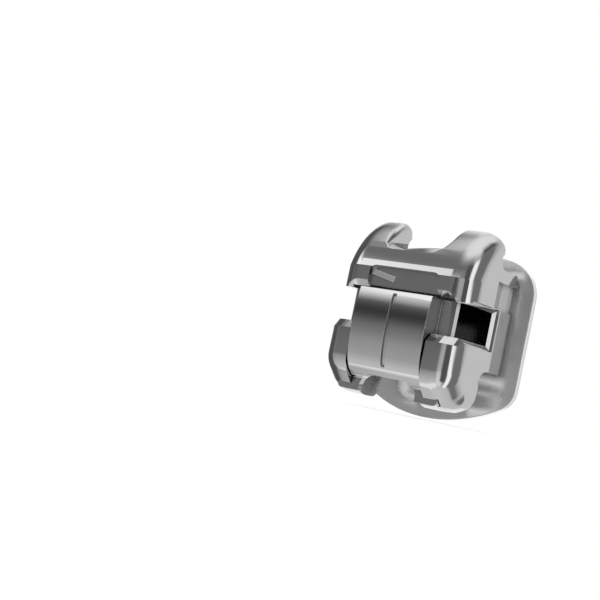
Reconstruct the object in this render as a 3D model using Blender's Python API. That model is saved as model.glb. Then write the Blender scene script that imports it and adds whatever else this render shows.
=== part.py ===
"""Self-ligating orthodontic bracket with a sliding door, in metres, +Z up.

The lip side faces -Y and the tooth side faces +Y. The origin is the centre of the bonding surface,
where the bracket is glued to the tooth. All values below are in millimetres. The side profile is
drawn about the slot datum: y = 0 is the front face of the door's rails and z = 0 is the middle of
the archwire slot.
"""

import math

import bmesh
import bpy
from mathutils import Vector

MM = 0.001

# Archwire slot
SLOT_HEIGHT = 0.56
SLOT_DEPTH = 0.68
SLOT_END_CHAMFER = 0.05
SLOT_END_LEDGE = 0.012
SLOT_END_STEP = 0.04
SLOT_END_SPLAY = 0.01

# Door and the fit of its rails
RAIL_THICKNESS = 0.11
RAIL_SPAN = 1.96
DOOR_SPAN = 1.40
DOOR_BULGE = 0.375
DOOR_CROWN_RADIUS = 2.75
DOOR_TOE_RADIUS = 0.55
DOOR_TOE_TILT = 62.0
DOOR_HEIGHT = 1.71
DOOR_OVERLAP = 0.02
DOOR_TRAVEL = 0.60
DOOR_ARCH_SPAN = 1.10
DOOR_ARCH_HEIGHT = 0.30
DOOR_ARCH_RADIUS = 0.22
DOOR_CREST = 0.25
RAIL_CORNER = 0.08
SCRIBE_WIDTH = 0.07
SCRIBE_DEPTH = 0.03
SCRIBE_LENGTH = 1.21
SCRIBE_TOP_MARGIN = 0.05
RUN_CLEARANCE = 0.015

# Body
BODY_WIDTH = 2.56
END_RADIUS = 0.40
LIP_THICKNESS = 0.285
LIP_GAP = 0.02
COLUMN_CHAMFER = 0.13
COLUMN_STRAIGHT = 0.44
COLUMN_KNEE_RADIUS = 0.45
COLUMN_SLOPE = 48.0
COLUMN_SLOPE_LENGTH = 0.22
LOWER_TIP_SWEEP = 0.50
LOWER_TIP_RADIUS = 0.20
LOWER_TIP_FLAT = 0.158
LOWER_TIP_TURN = 105.0
LOWER_TIP_ROUNDING = 0.63
LOWER_TIP_WASTE = 0.35
LOWER_GROOVE_RADIUS = 0.22
LOWER_GROOVE_START = 222.0
LOWER_NECK = 0.68
LOWER_NOTCH_SPAN = 1.20
BAR_FRONT = 0.20
BAR_FOOT_BREAK = 0.015
BAR_SEAT = 0.05
BAR_FLAT_TOP = 0.39
SEAT_BEVEL = 0.10
SEAT_ARCH_SPAN = 1.72
SEAT_ARCH_RADIUS = 0.35
CROWN_RADIUS = 1.474
CROWN_START_TILT = 15.6
CROWN_END_TILT = 60.0
UPPER_TIP_RADIUS = 0.17
UPPER_TIP_TURN = 15.0
UPPER_TIP_WASTE = 0.35
UPPER_TIP_ROUNDING = 0.70
UPPER_GROOVE_RADIUS = 0.18
UPPER_GROOVE_END = 122.0
UPPER_NECK = 1.00
FLOOR_WALL = 0.475
WEB_HEIGHT = 0.82
NOTCH_SPAN = 1.07
NOTCH_OFFSET = -0.045
NOTCH_FLOOR = 1.02
NOTCH_LEFT_FILLET = 0.10
NOTCH_RIGHT_FILLET = 0.22
WING_EDGE_ROUND = 0.13
PAD_RELIEF_DEPTH = 0.14
PAD_RELIEF_LENGTH = 0.03
PAD_RELIEF_FOOT = 0.86

# Tool recess in the upper bar
RECESS_SPAN = 1.36
RECESS_HEIGHT = 0.37
RECESS_DEPTH = 0.07
RECESS_CORNER = 0.12
KEY_WIDTH = 0.10
KEY_LENGTH = 0.50
KEY_DEPTH = 0.06
KEY_SLANT = 11.5
KEY_MARGIN = 0.01
KEY_DROP = 0.165

# Waist pockets in the sides of the neck
WAIST_DEPTH = 0.07
WAIST_RISE = 0.045
WAIST_TOP = 0.38
WAIST_MARGIN = 0.095
POCKET_DEPTH = 0.18
POCKET_RISE = 0.10
POCKET_LOW = 0.36
POCKET_HIGH = 0.80
POCKET_FRONT = 0.16
WAIST_WALL = 0.03

# Split spring pin that holds and stops the door
PIN_RADIUS = 0.09
PIN_BORE = 0.05
PIN_LENGTH = 1.16
PIN_PROUD = 0.05
PIN_HEIGHT = 0.60
PIN_SLIT = 0.05
PIN_FIT = 0.008

# Bonding pad and mesh
PAD_WIDTH = 3.09
PAD_TOP = 1.33
PAD_BOTTOM = 1.62
PAD_TOP_CORNER = 0.60
PAD_LOW_CORNER = 0.42
PAD_TOP_BOW = 8.0
PAD_LOW_BOW = 2.60
PAD_THICKNESS = 0.12
TOOTH_RADIUS = 7.5
TOOTH_MARGIN = 0.40
PAD_SEAT_MARGIN = 0.12
JOINT_GAP = 0.006
MESH_PITCH = 0.3175
MESH_WIRE = 0.12
MESH_THICKNESS = 0.09
MESH_FOIL = 0.03
MESH_EDGE = 0.08
WIRE_SHOULDER = 0.22
WEAVE_MEAN = 0.62

# Facet counts
END_STEPS = 8
PIN_SIDES = 20
SHARP_ANGLE = 35.0

# Derived places, all in the slot datum
HALF_SLOT = SLOT_HEIGHT / 2
SLOT_MOUTH = RAIL_THICKNESS + RUN_CLEARANCE
SLOT_FLOOR = SLOT_MOUTH + SLOT_DEPTH
PAD_FRONT = SLOT_FLOOR + FLOOR_WALL
MESH_FRONT = PAD_FRONT + JOINT_GAP + PAD_THICKNESS + JOINT_GAP
BOND_PLANE = MESH_FRONT + MESH_THICKNESS
HALF_BODY = BODY_WIDTH / 2
HALF_DOOR = DOOR_SPAN / 2
HALF_RAIL = RAIL_SPAN / 2
LIP_FRONT = -(RUN_CLEARANCE + LIP_THICKNESS)
BAR_FLAT_HEIGHT = HALF_SLOT + BAR_FLAT_TOP
DOOR_TOP = HALF_SLOT + DOOR_OVERLAP
DOOR_FOOT = DOOR_TOP - DOOR_HEIGHT
SEAT_HEIGHT = HALF_SLOT + BAR_SEAT
WEB_FOOT = -(HALF_SLOT + WEB_HEIGHT)
PIN_Y = SLOT_MOUTH - RUN_CLEARANCE - PIN_PROUD + PIN_RADIUS
PIN_Z = -(HALF_SLOT + PIN_HEIGHT)
BODY_BACK = PAD_FRONT + PAD_SEAT_MARGIN
FAR = 3.0


def clear_scene():
    for obj in list(bpy.data.objects):
        bpy.data.objects.remove(obj, do_unlink=True)


def metal(name, colour, roughness):
    material = bpy.data.materials.new(name)
    material.use_nodes = True
    shader = material.node_tree.nodes["Principled BSDF"]
    shader.inputs["Base Color"].default_value = (*colour, 1.0)
    shader.inputs["Metallic"].default_value = 1.0
    shader.inputs["Roughness"].default_value = roughness
    return material


def arc(centre, radius, start, end, steps):
    """Points on a circle in a plane, from one angle to another, in degrees."""
    points = []
    for step in range(steps + 1):
        angle = math.radians(start + (end - start) * step / steps)
        points.append((centre[0] + radius * math.cos(angle), centre[1] + radius * math.sin(angle)))
    return points


def add_object(name, bm, material=None, smooth=True):
    """Turn a bmesh drawn in millimetres about the slot datum into an object."""
    bmesh.ops.scale(bm, vec=Vector((MM, MM, MM)), verts=bm.verts)
    mesh = bpy.data.meshes.new(name)
    bm.to_mesh(mesh)
    bm.free()
    obj = bpy.data.objects.new(name, mesh)
    bpy.context.scene.collection.objects.link(obj)
    obj.parent = bpy.data.objects["slot_datum"]
    if material:
        mesh.materials.append(material)
    if smooth:
        mesh.shade_smooth()
        mesh.set_sharp_from_angle(angle=math.radians(SHARP_ANGLE))
    return obj


def ring_solid(rings):
    """Bridge rings of equal point count into one closed solid with flat ends."""
    bm = bmesh.new()
    loops = [[bm.verts.new(point) for point in ring] for ring in rings]
    count = len(loops[0])
    for near, far in zip(loops, loops[1:]):
        for i in range(count):
            j = (i + 1) % count
            bm.faces.new((near[i], near[j], far[j], far[i]))
    bm.faces.new(loops[0])
    bm.faces.new(loops[-1])
    bmesh.ops.recalc_face_normals(bm, faces=bm.faces)
    return bm


def extrude_x(outline, low, high):
    """A prism along X from an outline of (y, z) points."""
    return ring_solid([[(x, y, z) for y, z in outline] for x in (low, high)])


def extrude_y(outline, low, high):
    """A prism along Y from an outline of (x, z) points."""
    return ring_solid([[(x, y, z) for x, z in outline] for y in (low, high)])


def extrude_z(outline, low, high):
    """A prism along Z from an outline of (x, y) points."""
    return ring_solid([[(x, y, z) for x, y in outline] for z in (low, high)])


def box(low, high):
    outline = [(low[0], low[1]), (high[0], low[1]), (high[0], high[1]), (low[0], high[1])]
    return extrude_z(outline, low[2], high[2])


def combine(target, name, bm, operation="DIFFERENCE"):
    """Cut or join a helper solid with the target by an exact Boolean modifier."""
    helper = add_object(name, bm, smooth=False)
    helper.hide_render = True
    helper.display_type = "WIRE"
    modifier = target.modifiers.new(name, "BOOLEAN")
    modifier.object = helper
    modifier.operation = operation
    modifier.solver = "EXACT"
    return helper


def lower_front():
    """Front of a lower column, from the slot down to the lowest point of its wing tip."""
    slope = math.radians(COLUMN_SLOPE)
    points = [(LIP_FRONT + COLUMN_CHAMFER, -HALF_SLOT), (LIP_FRONT, -HALF_SLOT - COLUMN_CHAMFER)]
    knee = (LIP_FRONT + COLUMN_KNEE_RADIUS, -HALF_SLOT - COLUMN_CHAMFER - COLUMN_STRAIGHT)
    points += arc(knee, COLUMN_KNEE_RADIUS, 180, 180 + COLUMN_SLOPE, 5)
    y, z = points[-1]
    y += COLUMN_SLOPE_LENGTH * math.sin(slope)
    z -= COLUMN_SLOPE_LENGTH * math.cos(slope)
    sweep = (y + LOWER_TIP_SWEEP * math.cos(slope), z + LOWER_TIP_SWEEP * math.sin(slope))
    points += arc(sweep, LOWER_TIP_SWEEP, 180 + COLUMN_SLOPE, 270, 5)
    return points


def crown_centre():
    tilt = math.radians(CROWN_START_TILT)
    return (CROWN_RADIUS * math.cos(tilt) - BAR_FRONT,
            BAR_FLAT_HEIGHT - CROWN_RADIUS * math.sin(tilt))


def upper_tip_centre():
    """Centre of the round tip of an upper wing, which the crown runs into."""
    centre = crown_centre()
    reach = CROWN_RADIUS - UPPER_TIP_RADIUS
    angle = math.radians(180 - CROWN_END_TILT)
    return (centre[0] + reach * math.cos(angle), centre[1] + reach * math.sin(angle))


def groove_centre(tip, tip_radius, groove_radius, groove_edge, neck):
    """Centre of the round groove behind a wing tip, which meets the back of the tip."""
    overlap = groove_radius * (1 + math.cos(math.radians(groove_edge)))
    side = 1 if neck > 0 else -1
    return (tip[0] + tip_radius + groove_radius - overlap, neck + side * groove_radius)


def side_profile():
    """Outline of the body in Y and Z. Each point is given with the way it moves, per millimetre
    of rounding at the ends: a share along its inward normal, straight back and straight up."""
    front = lower_front()
    low_tip_centre = (front[-1][0] + LOWER_TIP_FLAT, front[-1][1] + LOWER_TIP_RADIUS)
    low_tip = arc(low_tip_centre, LOWER_TIP_RADIUS, 270, 270 + LOWER_TIP_TURN, 9)[1:]
    low_groove = arc(groove_centre(low_tip_centre, LOWER_TIP_RADIUS, LOWER_GROOVE_RADIUS,
                                   LOWER_GROOVE_START, -LOWER_NECK),
                     LOWER_GROOVE_RADIUS, LOWER_GROOVE_START, 90, 11)
    tip_centre = upper_tip_centre()
    turn_over = 180 - CROWN_END_TILT
    top_tip = arc(tip_centre, UPPER_TIP_RADIUS, -UPPER_TIP_TURN, turn_over, 11)
    top_groove = arc(groove_centre(tip_centre, UPPER_TIP_RADIUS, UPPER_GROOVE_RADIUS,
                                   UPPER_GROOVE_END, UPPER_NECK),
                     UPPER_GROOVE_RADIUS, 270, UPPER_GROOVE_END, 12)
    crown = arc(crown_centre(), CROWN_RADIUS, turn_over, 180 - CROWN_START_TILT, 9)[1:]

    sink = UPPER_TIP_ROUNDING - UPPER_TIP_WASTE
    back = sink * math.cos(math.radians(CROWN_END_TILT))
    up = -sink * math.sin(math.radians(CROWN_END_TILT))
    growth = (1.0 - UPPER_TIP_ROUNDING) / len(crown)
    end_back = back - UPPER_TIP_WASTE * math.cos(math.radians(UPPER_TIP_TURN))
    end_up = up + UPPER_TIP_WASTE * math.sin(math.radians(UPPER_TIP_TURN))
    outline = [((BODY_BACK, UPPER_NECK), 0.0, 0.0, 0.0)]
    for i, point in enumerate(top_groove):
        share = (i / (len(top_groove) - 1)) ** 2
        outline.append((point, 0.0, end_back * share, end_up * share))
    outline += [(point, UPPER_TIP_WASTE, back, up) for point in top_tip]
    outline += [(point, UPPER_TIP_ROUNDING + growth * i, 0.0, 0.0) for i, point in enumerate(crown, 1)]
    outline += [((-BAR_FRONT, HALF_SLOT + BAR_FOOT_BREAK), 0.0, 1.0, 0.0)]
    outline += [((-BAR_FRONT + BAR_FOOT_BREAK, HALF_SLOT), 0.0, 1.0, 0.0)]
    outline += [((SLOT_FLOOR, HALF_SLOT), 0.0, 0.0, 0.0), ((SLOT_FLOOR, -HALF_SLOT), 0.0, 0.0, 0.0)]
    outline += [(front[0], 0.0, 0.9, 0.0), (front[1], 0.0, 1.0, 0.0)]
    outline += [(point, 1.0, 0.0, 0.0) for point in front[2:-3]]
    ease = (1.0 - LOWER_TIP_ROUNDING) / 3
    outline += [(point, 1.0 - ease * i, 0.0, 0.0) for i, point in enumerate(front[-3:], 1)]
    fade = LOWER_TIP_WASTE / (len(low_tip) + 2)
    low_up = LOWER_TIP_ROUNDING - LOWER_TIP_WASTE
    outline += [(point, LOWER_TIP_WASTE - fade * i, 0.0, low_up) for i, point in enumerate(low_tip)]
    for i, point in enumerate(low_groove):
        share = (1.0 - i / (len(low_groove) - 1)) ** 2
        outline.append((point, 0.0, -3 * fade * share, (low_up - fade) * share))
    outline += [((BODY_BACK, -LOWER_NECK), 0.0, 0.0, 0.0)]
    return outline


def inset(outline, amount):
    """The outline with its points moved in by an amount of end rounding."""
    moved = []
    for i, (point, along_normal, back, up) in enumerate(outline):
        before = outline[i - 1][0]
        after = outline[(i + 1) % len(outline)][0]
        run = Vector((after[0] - before[0], after[1] - before[1])).normalized()
        y = point[0] + amount * (back - run.y * along_normal)
        z = point[1] + amount * (up + run.x * along_normal)
        moved.append((y, z))
    return moved


def body_blank():
    """The side profile lofted across the width, with its front edges rounded at both ends."""
    outline = side_profile()
    right = []
    for step in range(END_STEPS + 1):
        angle = math.radians(90 * step / END_STEPS)
        x = HALF_BODY - END_RADIUS * (1 - math.sin(angle))
        profile = inset(outline, END_RADIUS * (1 - math.cos(angle)))
        right.append([(x, y, z) for y, z in profile])
    left = [[(-x, y, z) for x, y, z in ring] for ring in reversed(right)]
    return ring_solid(left + right)


def notch_cutter():
    """The gap between the two upper wings, with filleted lower corners."""
    half = NOTCH_SPAN / 2
    centre = (half - NOTCH_RIGHT_FILLET, NOTCH_FLOOR + NOTCH_RIGHT_FILLET)
    outline = arc(centre, NOTCH_RIGHT_FILLET, 270, 360, 8) + [(half, FAR), (-half, FAR)]
    centre = (NOTCH_LEFT_FILLET - half, NOTCH_FLOOR + NOTCH_LEFT_FILLET)
    outline += arc(centre, NOTCH_LEFT_FILLET, 180, 270, 6)
    return extrude_y([(NOTCH_OFFSET + x, z) for x, z in outline], -FAR, FAR)


def notch_edge(z, fillet):
    """Half width of the gap between the upper wings at a height, down to its fillet."""
    drop = max(NOTCH_FLOOR + fillet - z, 0.0)
    return NOTCH_SPAN / 2 - fillet + math.sqrt(max(fillet ** 2 - drop ** 2, 0.0))


def wing_edge_cutter(side):
    """Rounds the inner front edge of one upper wing, from the notch up its crown and round its
    tip. The rounding grows out of the notch and dies out again at the back of the tip."""
    fillet = NOTCH_RIGHT_FILLET if side > 0 else NOTCH_LEFT_FILLET
    turn_over = 180 - CROWN_END_TILT
    start = 180 - math.degrees(math.asin((NOTCH_FLOOR - crown_centre()[1]) / CROWN_RADIUS))
    path = []
    for step in range(7):
        angle = start + (turn_over - start) * step / 6
        path.append((crown_centre(), CROWN_RADIUS, angle, min(0.1 + 0.3 * step, 1.0)))
    for step in range(1, 7):
        angle = turn_over - (turn_over + 15) * step / 6
        path.append((upper_tip_centre(), UPPER_TIP_RADIUS, angle, 1.0 - 0.15 * step))
    rings = []
    for centre, radius, angle, share in path:
        turn = math.radians(angle)
        size = WING_EDGE_ROUND * share
        edge = notch_edge(centre[1] + radius * math.sin(turn), fillet)
        round_edge = arc((edge + size, -size), size, 90, 180, 4)
        section = [(edge - size, -1.5 * size), (edge - size, size), (edge + 1.5 * size, size),
                   (edge + 1.5 * size, 0.0)] + round_edge + [(edge, -1.5 * size)]
        rings.append([(NOTCH_OFFSET + side * x, centre[0] + (radius + out) * math.cos(turn),
                       centre[1] + (radius + out) * math.sin(turn)) for x, out in section])
    return ring_solid(rings)


def recess_cutter():
    """The tool recess, a shallow pocket that runs out at the seat of the door."""
    half = RECESS_SPAN / 2
    top = SEAT_HEIGHT + RECESS_HEIGHT
    corner = (half - RECESS_CORNER, top - RECESS_CORNER)
    right = [(half, 0.0)] + arc(corner, RECESS_CORNER, 0, 90, 6)
    outline = right + [(-x, z) for x, z in reversed(right)]
    return extrude_y(outline, -FAR, -BAR_FRONT + RECESS_DEPTH)


def key_cutter():
    """The slanted key in the tool recess, a ramp that sinks towards the recess's corner."""
    slant = math.radians(KEY_SLANT)
    along = Vector((math.cos(slant), -math.sin(slant)))
    across = Vector((math.sin(slant), math.cos(slant)))
    start = Vector((KEY_MARGIN - RECESS_SPAN / 2, SEAT_HEIGHT + RECESS_HEIGHT - KEY_DROP))
    floor = -BAR_FRONT + RECESS_DEPTH
    rings = []
    for reach, depth in ((0.0, KEY_DEPTH), (KEY_LENGTH, 0.0)):
        low = start + along * reach
        high = low + across * KEY_WIDTH
        rings.append([(low.x, -FAR, low.y), (high.x, -FAR, high.y),
                      (high.x, floor + depth, high.y), (low.x, floor + depth, low.y)])
    return ring_solid(rings)


def seat_arch():
    """The bevelled arch under the upper bar, over the top of the door, with round ends."""
    half = SEAT_ARCH_SPAN / 2
    centre = SEAT_HEIGHT + SEAT_BEVEL - SEAT_ARCH_RADIUS
    right = [(half + SEAT_ARCH_RADIUS, 0.0)]
    right += arc((half, centre), SEAT_ARCH_RADIUS, 0, 90, 8)
    outline = right + [(-x, z) for x, z in reversed(right)]
    rings = []
    for reach in (-2 * SEAT_BEVEL, SEAT_BEVEL):
        rings.append([(x, -BAR_FRONT + reach, z - reach) for x, z in outline])
    return ring_solid(rings)


def door_channel():
    """The T-shaped guide for the door, open to the front and at the foot."""
    gap = HALF_DOOR + LIP_GAP
    rail = HALF_RAIL + RUN_CLEARANCE
    right = [(gap, -FAR), (gap, -RUN_CLEARANCE), (rail, -RUN_CLEARANCE), (rail, SLOT_MOUTH)]
    return extrude_z(right + [(-x, y) for x, y in reversed(right)], -FAR, 0.0)


def slot_end(side):
    """The stepped flare that breaks the edges of the slot where it leaves one side."""
    ledge = SLOT_END_CHAMFER + SLOT_END_LEDGE
    steps = [(-SLOT_END_STEP - 3 * SLOT_END_CHAMFER, -2 * SLOT_END_CHAMFER),
             (-SLOT_END_STEP, SLOT_END_CHAMFER), (-SLOT_END_STEP, ledge),
             (SLOT_END_STEP, ledge + 2 * SLOT_END_SPLAY)]
    rings = []
    for reach, grow in steps:
        corners = [(-FAR, -HALF_SLOT - grow), (SLOT_FLOOR + grow, -HALF_SLOT - grow),
                   (SLOT_FLOOR + grow, HALF_SLOT + grow), (-FAR, HALF_SLOT + grow)]
        rings.append([(side * (HALF_BODY + reach), y, z) for y, z in corners])
    return ring_solid(rings)


def pad_relief(side):
    """The small step beside the pad at the upper rear corner of the neck."""
    inner = HALF_BODY - PAD_RELIEF_DEPTH
    low = min(side * inner, side * FAR)
    high = max(side * inner, side * FAR)
    return box((low, PAD_FRONT - PAD_RELIEF_LENGTH, PAD_RELIEF_FOOT), (high, FAR, FAR))


def waist(side, front, depth, rise, low, high):
    """A pocket in one side of the neck, with a floor that rises by an amount towards the pad."""
    outer = HALF_BODY + depth
    inner = HALF_BODY - depth
    bend = front + WAIST_WALL
    run_out = BODY_BACK + WAIST_WALL
    outline = [(outer, front), (inner, bend), (inner + rise, run_out), (outer, run_out)]
    return extrude_z([(side * x, y) for x, y in outline], low, high)


def make_body(material):
    body = add_object("tie_wing_body", body_blank(), material)
    combine(body, "cut_upper_notch", notch_cutter())
    combine(body, "cut_tool_recess", recess_cutter())
    combine(body, "cut_tool_key", key_cutter())
    combine(body, "cut_seat_arch", seat_arch())
    rail = HALF_RAIL + RUN_CLEARANCE
    combine(body, "cut_door_seat", box((-rail, -FAR, 0.0), (rail, SLOT_MOUTH, SEAT_HEIGHT)))
    combine(body, "cut_door_channel", door_channel())
    half = LOWER_NOTCH_SPAN / 2
    combine(body, "cut_lower_notch", box((-half, -FAR, -FAR), (half, FAR, WEB_FOOT)))
    for side, label in ((1, "right"), (-1, "left")):
        combine(body, "cut_wing_edge_" + label, wing_edge_cutter(side))
        combine(body, "cut_slot_end_" + label, slot_end(side))
        combine(body, "cut_pad_relief_" + label, pad_relief(side))
        lower = waist(side, SLOT_FLOOR + WAIST_MARGIN, WAIST_DEPTH, WAIST_RISE, -FAR, WAIST_TOP)
        combine(body, "cut_waist_" + label, lower)
        upper = waist(side, SLOT_FLOOR - POCKET_FRONT, POCKET_DEPTH, POCKET_RISE, POCKET_LOW, POCKET_HIGH)
        combine(body, "cut_pocket_" + label, upper)
    seat = arc((PIN_Y, PIN_Z), PIN_RADIUS + PIN_FIT, 0, 360, PIN_SIDES)[:-1]
    reach = PIN_LENGTH / 2 + RUN_CLEARANCE
    combine(body, "cut_pin_seat", extrude_x(seat, -reach, reach))
    combine(body, "cut_pad_seat", tooth(PAD_FRONT))
    return body


def door_front(depth=0.0):
    """Front of the door's raised part from top to toe, moved back by a depth."""
    tilt = math.degrees(math.asin((DOOR_TOP + DOOR_CREST) / DOOR_CROWN_RADIUS))
    crown = (DOOR_CROWN_RADIUS - DOOR_BULGE, -DOOR_CREST)
    points = arc(crown, DOOR_CROWN_RADIUS - depth, 180 - tilt, 180 + tilt, 12)
    reach = DOOR_CROWN_RADIUS - DOOR_TOE_RADIUS
    angle = math.radians(180 + tilt)
    toe = (crown[0] + reach * math.cos(angle), crown[1] + reach * math.sin(angle))
    points += arc(toe, DOOR_TOE_RADIUS - depth, 180 + tilt, 180 + DOOR_TOE_TILT, 7)[1:]
    return points


def door_plate():
    """The flat plate with the rails, in X and Z, rounded at its lower corners."""
    centre = (HALF_RAIL - RAIL_CORNER, DOOR_FOOT + RAIL_CORNER)
    right = arc(centre, RAIL_CORNER, 270, 360, 4) + [(HALF_RAIL, DOOR_TOP)]
    return extrude_y(right + [(-x, z) for x, z in reversed(right)], 0.0, RAIL_THICKNESS)


def door_block():
    """The convex middle of the door, from its top edge to where it meets the plate."""
    front = door_front()
    tilt = math.radians(DOOR_TOE_TILT)
    back = RAIL_THICKNESS / 2
    y, z = front[-1]
    front.append((back, z - (back - y) * math.cos(tilt) / math.sin(tilt)))
    return extrude_x(front + [(back, DOOR_TOP)], -HALF_DOOR, HALF_DOOR)


def arch_cutter():
    half = DOOR_ARCH_SPAN / 2
    top = DOOR_FOOT + DOOR_ARCH_HEIGHT
    right = [(half, DOOR_FOOT - FAR)]
    right += arc((half - DOOR_ARCH_RADIUS, top - DOOR_ARCH_RADIUS), DOOR_ARCH_RADIUS, 0, 90, 6)
    return extrude_y(right + [(-x, z) for x, z in reversed(right)], -FAR, FAR)


def scribe_cutter():
    """The scribe line, a shallow groove that follows the curve of the door."""
    top = DOOR_TOP - SCRIBE_TOP_MARGIN
    bottom = top - SCRIBE_LENGTH
    floor = [point for point in door_front(SCRIBE_DEPTH) if bottom < point[1] < top]
    outline = [(-FAR, bottom), (-FAR, top), (floor[0][0], top)] + floor + [(floor[-1][0], bottom)]
    return extrude_x(outline, -SCRIBE_WIDTH / 2, SCRIBE_WIDTH / 2)


def make_door(material):
    door = add_object("sliding_door", door_plate(), material)
    combine(door, "join_door_block", door_block(), "UNION")
    combine(door, "cut_door_arch", arch_cutter())
    combine(door, "cut_scribe_line", scribe_cutter())
    reach = PIN_LENGTH / 2 + 2 * RUN_CLEARANCE
    radius = PIN_RADIUS + RUN_CLEARANCE
    low = (-reach, PIN_Y - radius, PIN_Z - radius)
    high = (reach, FAR, PIN_Z + radius + DOOR_TRAVEL)
    combine(door, "cut_pin_pocket", box(low, high))
    return door


def make_pin(material):
    """The split pin, with its slit to the back."""
    slit = math.degrees(math.asin(PIN_SLIT / 2 / PIN_BORE))
    slit_outer = math.degrees(math.asin(PIN_SLIT / 2 / PIN_RADIUS))
    outline = arc((PIN_Y, PIN_Z), PIN_RADIUS, slit_outer, 360 - slit_outer, PIN_SIDES)
    outline += arc((PIN_Y, PIN_Z), PIN_BORE, 360 - slit, slit, PIN_SIDES)
    return add_object("door_spring", extrude_x(outline, -PIN_LENGTH / 2, PIN_LENGTH / 2), material)


def bowed_side(half, edge, corner, bow, sign, steps):
    """Right half of a bowed edge from its middle to the end of its corner."""
    centre_z = sign * (edge - bow)
    rise = math.sqrt((bow - corner) ** 2 - (half - corner) ** 2)
    corner_z = centre_z + sign * rise
    meet = math.degrees(math.atan2(rise, half - corner))
    points = [(x, sign * z) for x, z in arc((0.0, sign * centre_z), bow, 90, meet, steps)[1:]]
    centre = (half - corner, sign * corner_z)
    points += [(x, sign * z) for x, z in arc(centre, corner, meet, 0, steps)[1:]]
    return points


def pad_outline(margin):
    """Outline of the pad in X and Z, reduced by a margin all round."""
    half = PAD_WIDTH / 2 - margin
    low = bowed_side(half, PAD_BOTTOM - margin, PAD_LOW_CORNER - margin, PAD_LOW_BOW - margin, -1, 8)
    top = bowed_side(half, PAD_TOP - margin, PAD_TOP_CORNER - margin, PAD_TOP_BOW - margin, 1, 8)
    right = [(0.0, -(PAD_BOTTOM - margin))] + low + list(reversed(top))
    left = [(-x, z) for x, z in reversed(right[1:])]
    return right + [(0.0, PAD_TOP - margin)] + left


def tooth(face):
    """The curved face of the tooth, as a prism whose front passes through a given depth."""
    reach = math.degrees(math.asin((PAD_WIDTH / 2 + TOOTH_MARGIN) / TOOTH_RADIUS))
    front = arc((0.0, face + TOOTH_RADIUS), TOOTH_RADIUS, 270 - reach, 270 + reach, 18)
    return extrude_z([(-FAR, FAR)] + front + [(FAR, FAR)], -FAR, FAR)


def make_pad(material):
    front = PAD_FRONT + JOINT_GAP
    pad = add_object("bonding_pad", extrude_y(pad_outline(0.0), -FAR, FAR), material)
    combine(pad, "trim_to_body", tooth(front), "INTERSECT")
    combine(pad, "cut_tooth_face", tooth(front + PAD_THICKNESS))
    return pad


def wire_stations(count):
    """Places across one row of wires, with the height of a wire there from 0 to 1."""
    stations = []
    for i in range(count):
        centre = (i - (count - 1) / 2) * MESH_PITCH
        for offset, height in ((-0.5, 0.0), (-WIRE_SHOULDER, 1.0), (WIRE_SHOULDER, 1.0), (0.5, 0.0)):
            stations.append((centre + offset * MESH_WIRE, height, i))
    return stations


def weave_height(across, along):
    """Height of a wire at a place along it: over one crossing wire, under the next."""
    place = (along[0] - (across[2] % 2) * MESH_PITCH) / MESH_PITCH
    return across[1] * (WEAVE_MEAN + (1.0 - WEAVE_MEAN) * math.cos(math.pi * place))


def woven_field():
    """Woven wires as a field of heights on the foil, closed by a flat front."""
    columns = wire_stations(int(PAD_WIDTH / MESH_PITCH) + 1)
    rows = wire_stations(int((PAD_TOP + PAD_BOTTOM) / MESH_PITCH) + 2)
    shift = (PAD_TOP - PAD_BOTTOM) / 2
    relief = MESH_THICKNESS - MESH_FOIL
    bm = bmesh.new()
    field = []
    for row in rows:
        line = []
        for column in columns:
            warp = weave_height(column, row)
            turned = (row[0], row[1], row[2] + 1)
            weft = weave_height(turned, column)
            curve = column[0] ** 2 / (2 * TOOTH_RADIUS)
            y = MESH_FRONT + curve + MESH_FOIL + relief * max(warp, weft)
            line.append(bm.verts.new((column[0], y, row[0] + shift)))
        field.append(line)
    for lower, upper in zip(field, field[1:]):
        for i in range(len(columns) - 1):
            bm.faces.new((lower[i], lower[i + 1], upper[i + 1], upper[i]))
    rim = [edge for edge in bm.edges if edge.is_boundary]
    walls = bmesh.ops.extrude_edge_only(bm, edges=rim)["geom"]
    front = [item for item in walls if isinstance(item, bmesh.types.BMVert)]
    for vert in front:
        vert.co.y = MESH_FRONT - FAR
    bmesh.ops.contextual_create(bm, geom=[edge for edge in bm.edges if edge.is_boundary])
    bmesh.ops.recalc_face_normals(bm, faces=bm.faces)
    return bm


def make_mesh(material):
    mesh = add_object("bonding_mesh", woven_field(), material)
    combine(mesh, "trim_to_pad", extrude_y(pad_outline(MESH_EDGE), -FAR, FAR), "INTERSECT")
    combine(mesh, "trim_to_tooth", tooth(MESH_FRONT), "INTERSECT")
    return mesh


def main():
    clear_scene()
    datum = bpy.data.objects.new("slot_datum", None)
    bpy.context.scene.collection.objects.link(datum)
    datum.location = (0.0, -BOND_PLANE * MM, 0.0)
    steel = (0.62, 0.62, 0.61)
    make_body(metal("polished_body_steel", steel, 0.12))
    make_door(metal("polished_door_steel", (0.60, 0.60, 0.60), 0.10))
    make_pin(metal("spring_steel", (0.50, 0.50, 0.50), 0.25))
    make_pad(metal("pad_steel", (0.70, 0.70, 0.69), 0.22))
    make_mesh(metal("mesh_steel", (0.55, 0.55, 0.54), 0.35))


main()
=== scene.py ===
"""Looks of a self-ligating orthodontic bracket: polished steel in a light tent."""

import math

import bmesh
import bpy
from mathutils import Matrix, Vector


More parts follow.
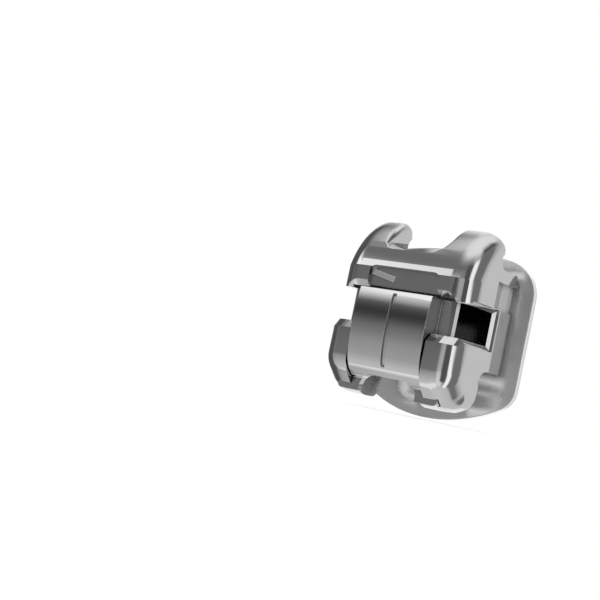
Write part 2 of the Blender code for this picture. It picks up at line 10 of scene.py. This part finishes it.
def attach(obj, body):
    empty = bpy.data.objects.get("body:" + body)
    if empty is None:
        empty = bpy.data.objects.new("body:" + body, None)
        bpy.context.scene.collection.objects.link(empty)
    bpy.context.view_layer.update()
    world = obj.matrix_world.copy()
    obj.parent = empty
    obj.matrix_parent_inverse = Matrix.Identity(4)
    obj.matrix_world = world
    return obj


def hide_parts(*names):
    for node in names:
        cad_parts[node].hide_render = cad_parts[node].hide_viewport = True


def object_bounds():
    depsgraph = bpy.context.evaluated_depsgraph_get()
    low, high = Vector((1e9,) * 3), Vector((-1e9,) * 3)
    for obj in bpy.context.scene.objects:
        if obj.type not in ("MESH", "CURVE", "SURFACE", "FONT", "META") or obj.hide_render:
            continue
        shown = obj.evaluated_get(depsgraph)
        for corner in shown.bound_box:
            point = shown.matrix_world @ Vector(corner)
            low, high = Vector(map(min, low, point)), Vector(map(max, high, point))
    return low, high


MM = 0.001

# Camera, in millimetres and degrees
CAMERA_PLACE = (10.621, -18.163, -1.463)
CAMERA_AZIMUTH = 37.43
CAMERA_ELEVATION = -3.79
CAMERA_ROLL = 12.08
CAMERA_LENS = 72.0
CAMERA_NEAR = 0.5

# Floor, in millimetres
FLOOR_GAP = 0.04
FLOOR_SIZE = 400.0
FLOOR_SHOWN = 0.6
FLOOR_FADED = 2.2
SHADOW_DEPTH = 0.25

# Edge finish, in millimetres
BODY_EDGE = 0.010
DOOR_EDGE = 0.008
PAD_EDGE = 0.012
PAD_RIM = 0.024
SPRING_EDGE = 0.006

EDGE_SEGMENTS = 2
NORMAL_WEIGHT = 50

# Angles between faces, in degrees: a crease in the shading, one on the blended lower wings, one on a
# round wire, and an edge that is broken
CREASE_ANGLE = 15.0
WING_CREASE_ANGLE = 34.0
WIRE_CREASE_ANGLE = 60.0
EDGE_ANGLE = 30.0

# A node's loose triangles become real faces: corners this near are one, in millimetres, and faces this
# flat are one, in degrees
MERGE_DISTANCE = 0.0002
FLAT_ANGLE = 0.3

# The lower wings lie below this height, in millimetres
LOWER_WING_TOP = -0.42

# Painted shade darkens the base colour of every steel in its corners and pockets: how far round a
# point counts, in millimetres, and the tone for how open the point is
CREVICE_SHADE_REACH = 0.14
CREVICE_SHADE_TONES = [(0.0, 0.25), (0.5, 0.7), (0.85, 1.0)]
SHADING_SAMPLES = 8

# Unevenness of every steel: its tint to either side, its fineness, and its waviness in millimetres
TINT_SPREAD = 0.03
GRAIN_DETAIL = 4.0
WAVE_DEPTH = 0.01

# Painted shade along the pad's rounded rim, by how far the rounding turns the surface
RIM_SHADE_TONES = [(0.75, 0.25), (0.94, 0.35), (0.995, 1.0)]

# A surface faces the front or a side when that part of its normal is past these
FACING_FRONT = 0.98
FACING_SIDE = 0.9

# Milled satin front of the bar and its recess, and the side pockets, in millimetres. The tone is
# painted shade, darkening the base colour of the pockets evenly.
MILLED_FOOT, MILLED_TOP = 0.33, 0.705
MILLED_BACK = -1.60
MILLED_ROUGHNESS = 0.16
POCKET_INNER, POCKET_OUTER = 1.05, 1.265
POCKET_STARTS = -0.86
POCKET_SHADE_TONE = 0.6

# Slanted key in the recess, in millimetres and degrees
KEY_START = (-0.655, 0.54)
KEY_LENGTH, KEY_WIDTH = 0.46, 0.10
KEY_FACE, KEY_BACK = -1.652, -1.59
KEY_SLANT = 11.5
KEY_EDGE = 0.007
KEY_SEGMENTS = 4

# Woven mesh on the pad, in millimetres
WIRE_PITCH = 0.3175
WIRE_HALF_WIDTH = 0.058
WIRE_HALF_HEIGHT = 0.026
WIRE_MIDDLE = -0.040
WIRE_WAVE = 0.014
WIRE_SIDES = 10
WIRE_RINGS_PER_PITCH = 8
WIRE_COLUMNS, WIRE_ROWS = 10, 11
TOOTH_RADIUS = 7.5
FOIL_SHARE = 0.945
FOIL_STEP = 0.042
PAD_MIDDLE = -0.156

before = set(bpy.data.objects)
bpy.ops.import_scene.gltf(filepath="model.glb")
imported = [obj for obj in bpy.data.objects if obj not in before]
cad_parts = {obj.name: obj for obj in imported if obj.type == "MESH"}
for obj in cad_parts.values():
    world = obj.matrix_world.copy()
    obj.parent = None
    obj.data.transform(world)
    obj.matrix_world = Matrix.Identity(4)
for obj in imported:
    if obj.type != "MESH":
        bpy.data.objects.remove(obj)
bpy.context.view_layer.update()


def select_only(piece):
    bpy.ops.object.select_all(action="DESELECT")
    piece.select_set(True)
    bpy.context.view_layer.objects.active = piece


def apply_modifier(piece, kind, **settings):
    """Adds a modifier with its settings and applies it."""
    select_only(piece)
    modifier = piece.modifiers.new(kind.lower(), kind)
    for name, value in settings.items():
        setattr(modifier, name, value)
    bpy.ops.object.modifier_apply(modifier=modifier.name)


def scale_mesh(piece, factor):
    """Scales a piece about the origin, and leaves its object unscaled."""
    select_only(piece)
    piece.scale = (factor, factor, factor)
    bpy.ops.object.transform_apply(location=False, rotation=False, scale=True)


def copy_of_node(name, node):
    """A working copy of a CAD node in millimetres, with its triangles merged into real faces."""
    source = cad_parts[node]
    piece = bpy.data.objects.new(name, source.data.copy())
    bpy.context.scene.collection.objects.link(piece)
    piece.data.materials.clear()
    scale_mesh(piece, 1 / MM)
    bpy.ops.object.mode_set(mode="EDIT")
    bpy.ops.mesh.select_all(action="SELECT")
    bpy.ops.mesh.remove_doubles(threshold=MERGE_DISTANCE)
    bpy.ops.mesh.dissolve_limited(angle_limit=math.radians(FLAT_ANGLE))
    bpy.ops.mesh.normals_make_consistent(inside=False)
    bpy.ops.object.mode_set(mode="OBJECT")
    return piece


def soften_edges(piece, width, blended_below=None):
    """Breaks the sharp edges as tumbling does, and keeps the flats flat in the shading."""
    select_only(piece)
    bpy.ops.object.shade_smooth_by_angle(angle=math.radians(CREASE_ANGLE))
    if blended_below is not None:
        work = bmesh.new()
        work.from_mesh(piece.data)
        for edge in work.edges:
            low = max(corner.co.z for corner in edge.verts) < blended_below
            if low and edge.calc_face_angle(math.pi) < math.radians(WING_CREASE_ANGLE):
                edge.smooth = True
        work.to_mesh(piece.data)
        work.free()
    apply_modifier(piece, "BEVEL", width=width, segments=EDGE_SEGMENTS, limit_method="ANGLE",
                   angle_limit=math.radians(EDGE_ANGLE), use_clamp_overlap=True,
                   miter_outer="MITER_ARC")
    apply_modifier(piece, "WEIGHTED_NORMAL", keep_sharp=True, mode="FACE_AREA_WITH_ANGLE",
                   weight=NORMAL_WEIGHT)


def place(piece, body, slot, material, *nodes):
    """Puts a finished piece back into metres and on its body."""
    scale_mesh(piece, MM)
    piece.data.materials.clear()
    piece.data.materials.append(material)
    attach(piece, body)
    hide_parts(*nodes)


def node_in(tree, kind, **values):
    node = tree.nodes.new(kind)
    for name, value in values.items():
        setattr(node, name, value)
    return node


def ramp_of(tree, value, stops):
    """Grey values along a number from 0 to 1."""
    ramp = node_in(tree, "ShaderNodeValToRGB")
    elements = ramp.color_ramp.elements
    while len(elements) < len(stops):
        elements.new(0.5)
    for element, (position, grey) in zip(elements, sorted(stops)):
        element.position = position
        element.color = (grey, grey, grey, 1.0)
    tree.links.new(value, ramp.inputs["Fac"])
    return ramp.outputs["Color"]


def calc(tree, operation, first, second=None, third=None):
    """A maths node on numbers or on other nodes' outputs."""
    node = node_in(tree, "ShaderNodeMath", operation=operation)
    for socket, value in zip(node.inputs, (first, second, third)):
        if isinstance(value, (int, float)):
            socket.default_value = value
        elif value is not None:
            tree.links.new(value, socket)
    return node.outputs["Value"]


def steel(name, colour, roughness, spread, grain, bump, metallic=1.0):
    """Steel with a faint unevenness of finish, a very shallow waviness, and painted shade in its
    corners and pockets.
    """
    material = bpy.data.materials.new(name)
    material.use_nodes = True
    tree = material.node_tree
    shader = tree.nodes["Principled BSDF"]
    shader.inputs["Metallic"].default_value = metallic
    place_of = node_in(tree, "ShaderNodeTexCoord")
    noise = node_in(tree, "ShaderNodeTexNoise")
    noise.inputs["Scale"].default_value = grain
    noise.inputs["Detail"].default_value = GRAIN_DETAIL
    tree.links.new(place_of.outputs["Object"], noise.inputs["Vector"])
    rough = node_in(tree, "ShaderNodeMapRange")
    rough.inputs["To Min"].default_value = roughness - spread
    rough.inputs["To Max"].default_value = roughness + spread
    tree.links.new(noise.outputs["Fac"], rough.inputs["Value"])
    tree.links.new(rough.outputs["Result"], shader.inputs["Roughness"])
    tint = node_in(tree, "ShaderNodeMixRGB")
    tint.inputs["Color1"].default_value = (*[(1 - TINT_SPREAD) * c for c in colour], 1.0)
    tint.inputs["Color2"].default_value = (*[min((1 + TINT_SPREAD) * c, 1.0) for c in colour], 1.0)
    tree.links.new(noise.outputs["Fac"], tint.inputs["Fac"])
    # Painted shade: the base colour is darkened where nearby surfaces enclose the point
    cavity = node_in(tree, "ShaderNodeAmbientOcclusion", samples=SHADING_SAMPLES)
    cavity.inputs["Distance"].default_value = CREVICE_SHADE_REACH * MM
    crevice_shade = node_in(tree, "ShaderNodeMixRGB", blend_type="MULTIPLY")
    crevice_shade.inputs["Fac"].default_value = 1.0
    tree.links.new(tint.outputs["Color"], crevice_shade.inputs["Color1"])
    tree.links.new(ramp_of(tree, cavity.outputs["AO"], CREVICE_SHADE_TONES), crevice_shade.inputs["Color2"])
    tree.links.new(crevice_shade.outputs["Color"], shader.inputs["Base Color"])
    wave = node_in(tree, "ShaderNodeBump")
    wave.inputs["Strength"].default_value = bump
    wave.inputs["Distance"].default_value = WAVE_DEPTH * MM
    tree.links.new(noise.outputs["Fac"], wave.inputs["Height"])
    tree.links.new(wave.outputs["Normal"], shader.inputs["Normal"])
    return material


def make_camera():
    camera = bpy.data.cameras.new("camera")
    camera.lens = CAMERA_LENS
    camera.clip_start = CAMERA_NEAR * MM
    holder = bpy.data.objects.new("camera", camera)
    bpy.context.scene.collection.objects.link(holder)
    turn = Matrix.Rotation(math.radians(CAMERA_AZIMUTH), 4, "Z")
    tilt = Matrix.Rotation(math.radians(90 - CAMERA_ELEVATION), 4, "X")
    roll = Matrix.Rotation(math.radians(CAMERA_ROLL), 4, "Z")
    holder.matrix_world = Matrix.Translation(Vector(CAMERA_PLACE) * MM) @ turn @ tilt @ roll
    bpy.context.scene.camera = holder


# The light tent that polished steel mirrors: white panels with black cards between them, on a grey
# ground. Azimuth 0 is towards -Y and 90 towards +X. A later card hangs in front of an earlier one.
TENT_GROUND = 0.45
CARDS = [
    # name, azimuth from and to, elevation from and to, softness in degrees, grey at foot and top
    ("overhead panel", -200, 200, 60, 110, 20, 0.9, 1.1),
    ("pale table", -200, 200, -110, -50, 20, 0.8, 0.6),
    ("left rear panel", -200, -130, -60, 60, 20, 1.0, 1.0),
    ("right rear panel", 130, 200, -60, 60, 20, 0.7, 0.7),
    ("left black card", -130, -70, -50, 50, 20, 0.1, 0.1),
    ("graded front board", -70, 10, -60, 0, 10, 0.8, 0.3),
    ("low front panel", -70, 10, -70, -50, 10, 1.0, 1.0),
    ("front black card", -70, 10, 0, 20, 20, 0.05, 0.05),
    ("front strip light", -70, 10, 20, 40, 10, 1.3, 1.3),
    ("upper black card", -70, 50, 40, 60, 20, 0.1, 0.3),
    ("right front panel", 10, 40, -60, 0, 10, 0.9, 0.7),
    ("right front black card", 30, 60, -40, 50, 10, 0.1, 0.1),
    ("right strip light", 60, 80, -60, 50, 10, 1.2, 1.2),
    ("right grey card", 80, 120, -50, 50, 10, 0.2, 0.2),
    ("upper right black card", 80, 130, 50, 70, 20, 0.1, 0.1),
]


def window_of(tree, value, low, high, soft, full):
    """1 between two angles and 0 outside, with soft edges, where the value runs over a full angle."""
    edges = []
    for edge, sign in ((low, 1), (high, -1)):
        step = node_in(tree, "ShaderNodeMapRange", interpolation_type="SMOOTHSTEP")
        step.inputs["From Min"].default_value = (edge - sign * soft / 2) / full + 0.5
        step.inputs["From Max"].default_value = (edge + sign * soft / 2) / full + 0.5
        tree.links.new(value, step.inputs["Value"])
        edges.append(step.outputs["Result"])
    return calc(tree, "MULTIPLY", edges[0], edges[1])


def make_tent():
    """The world: plain white to the eye and to diffuse light, a light tent in reflections."""
    world = bpy.data.worlds.new("light_tent")
    bpy.context.scene.world = world
    world.use_nodes = True
    tree = world.node_tree
    background = tree.nodes["Background"]
    way = node_in(tree, "ShaderNodeTexCoord")
    split = node_in(tree, "ShaderNodeSeparateXYZ")
    tree.links.new(way.outputs["Generated"], split.inputs["Vector"])
    height = calc(tree, "ARCSINE", split.outputs["Z"])
    rise = calc(tree, "MULTIPLY_ADD", height, 1 / math.pi, 0.5)
    back = calc(tree, "MULTIPLY", split.outputs["Y"], -1.0)
    turn = calc(tree, "ARCTAN2", split.outputs["X"], back)
    bearing = calc(tree, "MULTIPLY_ADD", turn, 0.5 / math.pi, 0.5)
    tent = node_in(tree, "ShaderNodeRGB").outputs["Color"]
    tent.default_value = (TENT_GROUND, TENT_GROUND, TENT_GROUND, 1.0)
    for _, left, right, foot, top, soft, foot_grey, top_grey in CARDS:
        across = window_of(tree, bearing, left, right, soft, 360)
        upright = window_of(tree, rise, foot, top, soft, 180)
        grade = node_in(tree, "ShaderNodeMapRange")
        tree.links.new(rise, grade.inputs["Value"])
        grade.inputs["From Min"].default_value = foot / 180 + 0.5
        grade.inputs["From Max"].default_value = top / 180 + 0.5
        grade.inputs["To Min"].default_value = foot_grey
        grade.inputs["To Max"].default_value = top_grey
        card = node_in(tree, "ShaderNodeMixRGB")
        tree.links.new(calc(tree, "MULTIPLY", across, upright), card.inputs["Fac"])
        tree.links.new(tent, card.inputs["Color1"])
        tree.links.new(grade.outputs["Result"], card.inputs["Color2"])
        tent = card.outputs["Color"]
    rays = node_in(tree, "ShaderNodeLightPath")
    shown = node_in(tree, "ShaderNodeMixRGB")
    shown.inputs["Color1"].default_value = (1.0, 1.0, 1.0, 1.0)
    tree.links.new(rays.outputs["Is Glossy Ray"], shown.inputs["Fac"])
    tree.links.new(tent, shown.inputs["Color2"])
    tree.links.new(shown.outputs["Color"], background.inputs["Color"])
    background.inputs["Strength"].default_value = 1.0


def make_floor():
    """A plain white floor just under the bracket. Polished steel mirrors the tent instead of it."""
    low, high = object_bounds()
    bpy.ops.mesh.primitive_plane_add(size=FLOOR_SIZE * MM, location=(0, 0, low.z - FLOOR_GAP * MM))
    floor = bpy.context.active_object
    floor.name = "floor"
    material = bpy.data.materials.new("white_floor")
    material.use_nodes = True
    tree = material.node_tree
    shader = tree.nodes["Principled BSDF"]
    shader.inputs["Base Color"].default_value = (1.0, 1.0, 1.0, 1.0)
    shader.inputs["Roughness"].default_value = 1.0
    shader.inputs["Specular IOR Level"].default_value = 0.0
    place_of = node_in(tree, "ShaderNodeTexCoord")
    distance = node_in(tree, "ShaderNodeVectorMath", operation="LENGTH")
    tree.links.new(place_of.outputs["Object"], distance.inputs[0])
    fade = node_in(tree, "ShaderNodeMapRange", interpolation_type="SMOOTHSTEP")
    fade.inputs["From Min"].default_value = FLOOR_SHOWN * MM
    fade.inputs["From Max"].default_value = FLOOR_FADED * MM
    fade.inputs["To Min"].default_value = 1.0 - SHADOW_DEPTH
    tree.links.new(distance.outputs["Value"], fade.inputs["Value"])
    clear = node_in(tree, "ShaderNodeBsdfTransparent")
    rays = node_in(tree, "ShaderNodeLightPath")
    share = calc(tree, "MAXIMUM", rays.outputs["Is Glossy Ray"], fade.outputs["Result"])
    mix = node_in(tree, "ShaderNodeMixShader")
    tree.links.new(share, mix.inputs["Fac"])
    tree.links.new(shader.outputs["BSDF"], mix.inputs[1])
    tree.links.new(clear.outputs["BSDF"], mix.inputs[2])
    tree.links.new(mix.outputs["Shader"], tree.nodes["Material Output"].inputs["Surface"])
    floor.data.materials.append(material)


def link_before(tree, socket, kind, link_to, **values):
    """Puts a node between a socket and what feeds it now, and returns it."""
    feed = socket.links[0].from_socket
    node = node_in(tree, kind, **values)
    tree.links.new(feed, node.inputs[link_to])
    return node


def body_steel():
    """Polished steel, with a milled satin bar and side pockets darkened by painted shade."""
    material = steel("body_steel_polished", (0.70, 0.70, 0.70), roughness=0.07, spread=0.02,
                     grain=2500.0, bump=0.05)
    tree = material.node_tree
    shader = tree.nodes["Principled BSDF"]
    place_of = node_in(tree, "ShaderNodeTexCoord")
    spot = node_in(tree, "ShaderNodeSeparateXYZ")
    tree.links.new(place_of.outputs["Object"], spot.inputs["Vector"])
    facing = node_in(tree, "ShaderNodeSeparateXYZ")
    tree.links.new(place_of.outputs["Normal"], facing.inputs["Vector"])
    above = calc(tree, "GREATER_THAN", spot.outputs["Z"], MILLED_FOOT * MM)
    below = calc(tree, "LESS_THAN", spot.outputs["Z"], MILLED_TOP * MM)
    ahead = calc(tree, "LESS_THAN", spot.outputs["Y"], MILLED_BACK * MM)
    flat = calc(tree, "LESS_THAN", facing.outputs["Y"], -FACING_FRONT)
    milled = calc(tree, "MULTIPLY", calc(tree, "MULTIPLY", above, below),
                  calc(tree, "MULTIPLY", ahead, flat))
    rough = shader.inputs["Roughness"].links[0].from_socket
    tree.links.new(calc(tree, "MULTIPLY_ADD", milled, MILLED_ROUGHNESS, rough),
                   shader.inputs["Roughness"])
    # Painted shade: the base colour of the side pockets is multiplied by a fixed grey
    sideways = calc(tree, "GREATER_THAN", calc(tree, "ABSOLUTE", facing.outputs["X"]), FACING_SIDE)
    out = calc(tree, "ABSOLUTE", spot.outputs["X"])
    inside = calc(tree, "MULTIPLY", calc(tree, "LESS_THAN", out, POCKET_OUTER * MM),
                  calc(tree, "GREATER_THAN", out, POCKET_INNER * MM))
    behind = calc(tree, "GREATER_THAN", spot.outputs["Y"], POCKET_STARTS * MM)
    pocket_shade_mask = calc(tree, "MULTIPLY", calc(tree, "MULTIPLY", sideways, inside), behind)
    shade = link_before(tree, shader.inputs["Base Color"], "ShaderNodeMixRGB", "Color1",
                        blend_type="MULTIPLY")
    tree.links.new(pocket_shade_mask, shade.inputs["Fac"])
    shade.inputs["Color2"].default_value = (POCKET_SHADE_TONE, POCKET_SHADE_TONE, POCKET_SHADE_TONE, 1.0)
    tree.links.new(shade.outputs["Color"], shader.inputs["Base Color"])
    return material


def make_body():
    body = copy_of_node("polished_body", "tie_wing_body")
    soften_edges(body, BODY_EDGE, blended_below=LOWER_WING_TOP)
    place(body, "bracket", "body_steel", body_steel(), "tie_wing_body")


def make_key():
    """The slanted key that a tool turns against, a bar with rounded edges in the recess."""
    slant = math.radians(KEY_SLANT)
    along = Vector((math.cos(slant), 0, -math.sin(slant))) * (KEY_LENGTH / 2)
    across = Vector((math.sin(slant), 0, math.cos(slant))) * (KEY_WIDTH / 2)
    middle = Vector((KEY_START[0], (KEY_FACE + KEY_BACK) / 2, KEY_START[1])) + along + across
    bpy.ops.object.select_all(action="DESELECT")
    bpy.ops.mesh.primitive_cube_add(size=1.0, location=middle, rotation=(0, slant, 0),
                                    scale=(KEY_LENGTH, KEY_BACK - KEY_FACE, KEY_WIDTH))
    key = bpy.context.active_object
    key.name = "tool_key"
    bpy.ops.object.transform_apply(location=True, rotation=True, scale=True)
    apply_modifier(key, "BEVEL", width=KEY_EDGE, segments=KEY_SEGMENTS, limit_method="ANGLE",
                   angle_limit=math.radians(EDGE_ANGLE))
    bpy.ops.object.shade_smooth_by_angle(angle=math.radians(EDGE_ANGLE))
    apply_modifier(key, "WEIGHTED_NORMAL", keep_sharp=True, weight=NORMAL_WEIGHT)
    satin = steel("key_steel_satin", (0.88, 0.88, 0.88), roughness=0.34, spread=0.03,
                  grain=2500.0, bump=0.05)
    place(key, "bracket", "body_steel", satin)


def make_door():
    door = copy_of_node("polished_door", "sliding_door")
    soften_edges(door, DOOR_EDGE)
    polished = steel("door_steel_polished", (0.70, 0.70, 0.70), roughness=0.06, spread=0.02,
                     grain=2500.0, bump=0.04)
    place(door, "door", "door_steel", polished, "sliding_door")


def pad_steel():
    """Fine satin steel, with a rounded rim and a painted dark line of shade where the rim meets the
    face.
    """
    material = steel("pad_steel_satin", (0.92, 0.92, 0.92), roughness=0.17, spread=0.03,
                     grain=4000.0, bump=0.10, metallic=0.88)
    tree = material.node_tree
    shader = tree.nodes["Principled BSDF"]
    rounded = node_in(tree, "ShaderNodeBevel", samples=SHADING_SAMPLES)
    rounded.inputs["Radius"].default_value = PAD_RIM * MM
    surface = node_in(tree, "ShaderNodeNewGeometry")
    turned = node_in(tree, "ShaderNodeVectorMath", operation="DOT_PRODUCT")
    tree.links.new(rounded.outputs["Normal"], turned.inputs[0])
    tree.links.new(surface.outputs["True Normal"], turned.inputs[1])
    # Painted shade: the base colour darkens in a line where the rim's rounding turns the surface
    rim_shade = ramp_of(tree, turned.outputs["Value"], RIM_SHADE_TONES)
    shade = link_before(tree, shader.inputs["Base Color"], "ShaderNodeMixRGB", "Color1",
                        blend_type="MULTIPLY")
    shade.inputs["Fac"].default_value = 1.0
    tree.links.new(rim_shade, shade.inputs["Color2"])
    tree.links.new(shade.outputs["Color"], shader.inputs["Base Color"])
    wave = shader.inputs["Normal"].links[0].from_node
    tree.links.new(rounded.outputs["Normal"], wave.inputs["Normal"])
    return material


def make_pad():
    pad = copy_of_node("satin_pad", "bonding_pad")
    soften_edges(pad, PAD_EDGE)
    place(pad, "bracket", "pad_steel", pad_steel(), "bonding_pad")


def make_spring():
    spring = copy_of_node("split_pin", "door_spring")
    soften_edges(spring, SPRING_EDGE)
    drawn = steel("spring_steel_drawn", (0.55, 0.55, 0.55), roughness=0.22, spread=0.05,
                  grain=6000.0, bump=0.15)
    place(spring, "bracket", "spring_steel", drawn, "door_spring")


def weave_wire(across, start, end, upright, phase):
    """One wire of the mesh, over one crossing wire and under the next."""
    length = end - start
    middle = (start + end) / 2
    bpy.ops.object.select_all(action="DESELECT")
    bpy.ops.mesh.primitive_cylinder_add(
        vertices=WIRE_SIDES, radius=1.0, depth=length,
        location=(across, 0, middle) if upright else (middle, 0, across),
        rotation=(0, 0 if upright else math.pi / 2, 0),
        scale=(WIRE_HALF_WIDTH, WIRE_HALF_HEIGHT, 1.0))
    wire = bpy.context.active_object
    bpy.ops.object.transform_apply(location=True, rotation=True, scale=True)
    bpy.ops.object.mode_set(mode="EDIT")
    bpy.ops.mesh.select_mode(type="EDGE")
    bpy.ops.mesh.select_all(action="DESELECT")
    bpy.ops.object.mode_set(mode="OBJECT")
    for edge in wire.data.edges:
        low, high = (wire.data.vertices[i].co for i in edge.vertices)
        edge.select = (high - low).length > 0.9 * length
    bpy.ops.object.mode_set(mode="EDIT")
    bpy.ops.mesh.subdivide(number_cuts=int(length / WIRE_PITCH * WIRE_RINGS_PER_PITCH))
    bpy.ops.object.mode_set(mode="OBJECT")
    for vertex in wire.data.vertices:
        along = vertex.co.z if upright else vertex.co.x
        wave = math.cos(math.pi * (along - phase) / WIRE_PITCH)
        vertex.co.y += WIRE_MIDDLE + WIRE_WAVE * wave + vertex.co.x ** 2 / (2 * TOOTH_RADIUS)
    bpy.ops.object.shade_smooth_by_angle(angle=math.radians(WIRE_CREASE_ANGLE))
    return wire


def make_mesh():
    """The woven mesh that the adhesive grips: round wires pressed on a foil."""
    corners = [vertex.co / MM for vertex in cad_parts["bonding_mesh"].data.vertices]
    shift = (min(c.z for c in corners) + max(c.z for c in corners)) / 2
    columns = [(i - (WIRE_COLUMNS - 1) / 2) * WIRE_PITCH for i in range(WIRE_COLUMNS)]
    rows = [(i - (WIRE_ROWS - 1) / 2) * WIRE_PITCH + shift for i in range(WIRE_ROWS)]
    wires = []
    for i, x in enumerate(columns):
        reach = [c.z for c in corners if abs(c.x - x) < WIRE_PITCH / 2]
        if reach:
            wires.append(weave_wire(x, min(reach), max(reach), True, rows[i % 2]))
    for i, z in enumerate(rows):
        reach = [c.x for c in corners if abs(c.z - z) < WIRE_PITCH / 2]
        if reach:
            wires.append(weave_wire(z, min(reach), max(reach), False, columns[(i + 1) % 2]))
    trim = copy_of_node("pad_outline", "bonding_pad")
    for vertex in trim.data.vertices:
        behind = vertex.co.y - vertex.co.x ** 2 / (2 * TOOTH_RADIUS) > PAD_MIDDLE
        vertex.co = (vertex.co.x * FOIL_SHARE, 1.0 if behind else -1.0,
                     shift + (vertex.co.z - shift) * FOIL_SHARE)
    for wire in wires:
        apply_modifier(wire, "BOOLEAN", operation="INTERSECT", object=trim, solver="EXACT")
    bpy.data.objects.remove(trim)
    for wire in wires:
        wire.select_set(True)
    bpy.context.view_layer.objects.active = wires[0]
    bpy.ops.object.join()
    weave = bpy.context.active_object
    weave.name = "woven_wires"
    sintered = steel("mesh_steel_sintered", (0.60, 0.60, 0.59), roughness=0.34, spread=0.08,
                     grain=9000.0, bump=0.4)
    place(weave, "bracket", "mesh_steel", sintered, "bonding_mesh")
    foil = copy_of_node("mesh_foil", "bonding_pad")
    for vertex in foil.data.vertices:
        vertex.co = (vertex.co.x * FOIL_SHARE, vertex.co.y + FOIL_STEP,
                     shift + (vertex.co.z - shift) * FOIL_SHARE)
    soften_edges(foil, SPRING_EDGE)
    etched = steel("foil_steel_etched", (0.50, 0.50, 0.49), roughness=0.45, spread=0.08,
                   grain=7000.0, bump=0.5)
    place(foil, "bracket", "mesh_steel", etched, "bonding_mesh")


make_camera()
make_body()
make_key()
make_door()
make_pad()
make_spring()
make_mesh()
make_tent()
make_floor()
bpy.context.scene.view_settings.view_transform = "Standard"
